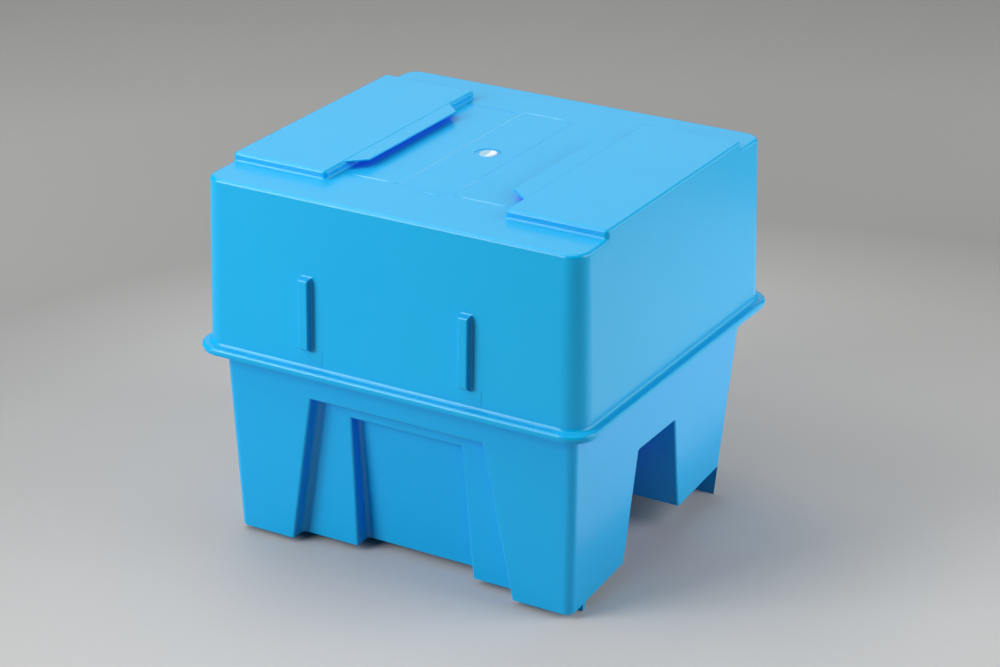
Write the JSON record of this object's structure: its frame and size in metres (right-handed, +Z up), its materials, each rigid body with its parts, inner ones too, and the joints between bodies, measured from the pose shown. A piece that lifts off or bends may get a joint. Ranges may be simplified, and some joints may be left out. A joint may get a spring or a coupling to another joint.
{
  "type": "specimen transport box",
  "caption": "Rectangular two-part plastic box with a deep lift-off lid, stepped front recess, hand tunnel, inner tray and divider.",
  "frame": {"origin": "middle of the footprint, on the surface the feet stand on", "axes": "+X across the wide front to the right, +Y from the front to the back, +Z up"},
  "size_m": [0.2662, 0.245, 0.2371],
  "materials": {
    "base_blue": "smooth moulded, glossy",
    "lid_blue": "smooth moulded, glossy",
    "seal_grey": "soft matte",
    "tray_white": "fine satin",
    "divider_white": "fine satin",
    "mat_white": "embossed non-woven"
  },
  "bodies": {
    "base": {"base_tub": "base_blue", "absorbent_mat_front": "mat_white", "absorbent_mat_rear": "mat_white"},
    "lid": {"lid_cover": "lid_blue", "rim_seal": "seal_grey"},
    "tray": {"sample_tray": "tray_white"},
    "divider": {"divider_long_strips": "divider_white", "divider_short_strips": "divider_white"}
  },
  "joints": [
    {"name": "lid_lift", "type": "slide", "parent": "base", "child": "lid", "axis": [0, 0, 1], "range_m": [0, 0.14]},
    {"name": "tray_lift", "type": "slide", "parent": "base", "child": "tray", "axis": [0, 0, 1], "range_m": [0, 0.0512]},
    {"name": "divider_lift", "type": "slide", "parent": "tray", "child": "divider", "axis": [0, 0, 1], "range_m": [0, 0.043]}
  ]
}
